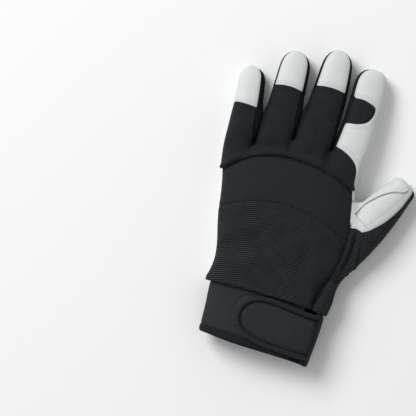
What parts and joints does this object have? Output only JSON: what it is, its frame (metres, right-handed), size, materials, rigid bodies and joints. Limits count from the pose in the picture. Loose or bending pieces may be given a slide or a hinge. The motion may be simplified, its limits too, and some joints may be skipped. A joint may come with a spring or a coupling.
{
  "type": "mechanic glove",
  "caption": "Left-hand work glove with a leather palm and fingertips, knit back, padded knuckle band, and a cuff closed by a rounded strap.",
  "frame": {"origin": "middle of the palm's flat resting face, on the table", "axes": "+X towards the thumb side, +Y towards the fingertips, +Z out of the back of the hand"},
  "size_m": [0.1625, 0.2519, 0.0352],
  "materials": {
    "goatskin": "soft matte grain leather, off-white",
    "fine_knit": "fine tight knit, black",
    "stretch_cloth": "smooth stretch cloth, black",
    "band_foam": "smooth jersey over foam, black",
    "ribbed_knit": "ribbed stretch knit, black",
    "cuff_foam": "jersey over foam, black",
    "hem_tape": "folded binding tape, black",
    "strap_foam": "jersey over foam, charcoal",
    "loop_pile": "short loop pile, black"
  },
  "bodies": {
    "root": {"palm_leather": "goatskin", "index_wrap": "goatskin", "thumb_overlay": "goatskin", "thumb_piping": "goatskin", "pinky_tip_cap": "goatskin", "ring_tip_cap": "goatskin", "middle_tip_cap": "goatskin", "finger_back_panel": "fine_knit", "index_knuckle_patch": "fine_knit", "fourchette_pinky_ring": "stretch_cloth", "fourchette_ring_middle": "stretch_cloth", "fourchette_middle_index": "stretch_cloth", "knuckle_band": "band_foam", "knit_panel": "ribbed_knit", "thumb_gusset": "stretch_cloth", "wrist_gusset": "stretch_cloth", "thumb_outer_panel": "ribbed_knit", "cuff_body": "cuff_foam", "cuff_hem": "hem_tape", "strap_panel": "strap_foam", "strap_binding": "hem_tape", "strap_loop_pad": "loop_pile"}
  },
  "joints": []
}
